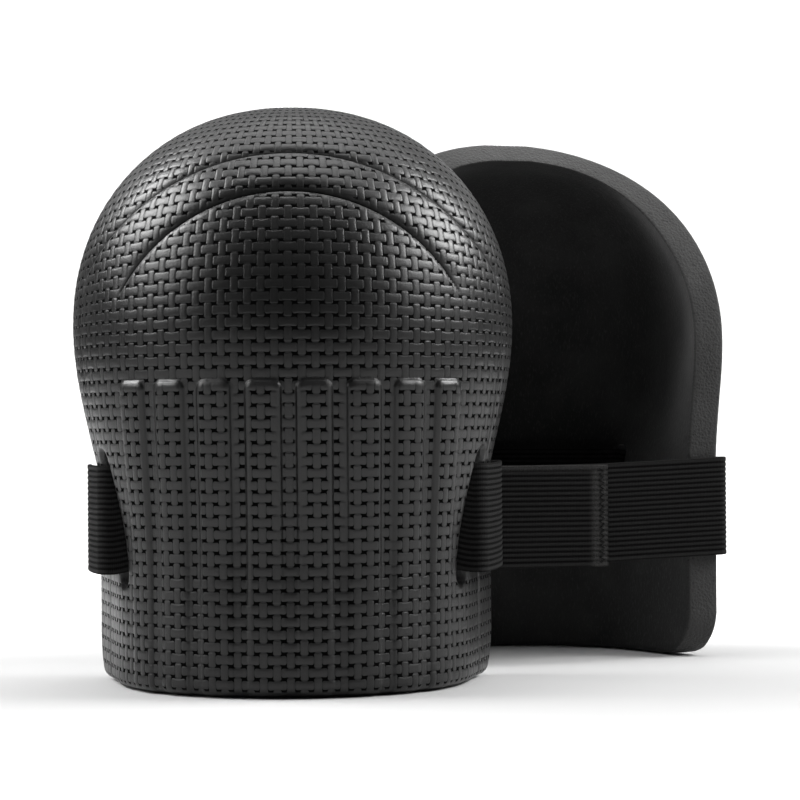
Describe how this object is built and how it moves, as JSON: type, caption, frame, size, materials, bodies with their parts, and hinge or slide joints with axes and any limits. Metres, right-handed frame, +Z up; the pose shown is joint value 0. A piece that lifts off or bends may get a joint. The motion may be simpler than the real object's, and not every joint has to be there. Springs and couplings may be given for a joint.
{
  "type": "knee pads",
  "caption": "Pair of moulded foam knee pads with a woven-texture cup, ribbed shin part and a wide elastic band closed behind the leg.",
  "frame": {"origin": "centre of the pair's footprint on the floor both pads stand on", "axes": "+Z up, -Y towards the kneecap side of the near pad, +X to its right; the far pad stands turned round behind it"},
  "size_m": [0.2432, 0.2484, 0.2024],
  "materials": {
    "moulded_foam": "matt moulded EVA foam, basket weave on the outside, smooth inside, fine cut cells on the rim",
    "ribbed_elastic": "woven ribbed elastic webbing",
    "loop_tape": "brushed loop pile",
    "hook_tape": "moulded hooks on woven tape",
    "thread": "black polyester sewing thread"
  },
  "bodies": {
    "pad_a": {"a_foam_cup": "moulded_foam", "a_elastic_band": "ribbed_elastic", "a_loop_tape": "loop_tape", "a_loop_stitching": "thread"},
    "closing_a": {"a_closing_band": "ribbed_elastic"},
    "tab_a": {"a_tab_band": "ribbed_elastic", "a_hook_tape": "hook_tape", "a_seam_stitching": "thread"},
    "pad_b": {"b_foam_cup": "moulded_foam", "b_elastic_band": "ribbed_elastic", "b_loop_tape": "loop_tape", "b_loop_stitching": "thread"},
    "closing_b": {"b_closing_band": "ribbed_elastic"},
    "tab_b": {"b_tab_band": "ribbed_elastic", "b_hook_tape": "hook_tape", "b_seam_stitching": "thread"}
  },
  "joints": [
    {"name": "pad_b_apart", "type": "slide", "parent": "pad_a", "child": "pad_b", "axis": [0, 1, 0], "range_m": [0, 0.15]},
    {"name": "a_band_opens", "type": "hinge", "parent": "pad_a", "child": "closing_a", "pos_m": [-0.11942, -0.02342, 0.057], "axis": [0, 0, 1], "range_deg": [0, 110]},
    {"name": "a_tab_lifts", "type": "hinge", "parent": "closing_a", "child": "tab_a", "pos_m": [-0.06466, -0.01501, 0.057], "axis": [0, 0, 1], "range_deg": [0, 110]},
    {"name": "b_band_opens", "type": "hinge", "parent": "pad_b", "child": "closing_b", "pos_m": [-0.02196, -0.00002, 0.057], "axis": [0, 0, -1], "range_deg": [0, 18]},
    {"name": "b_tab_lifts", "type": "hinge", "parent": "closing_b", "child": "tab_b", "pos_m": [0.03256, 0.00986, 0.057], "axis": [0, 0, -1], "range_deg": [0, 90]}
  ]
}
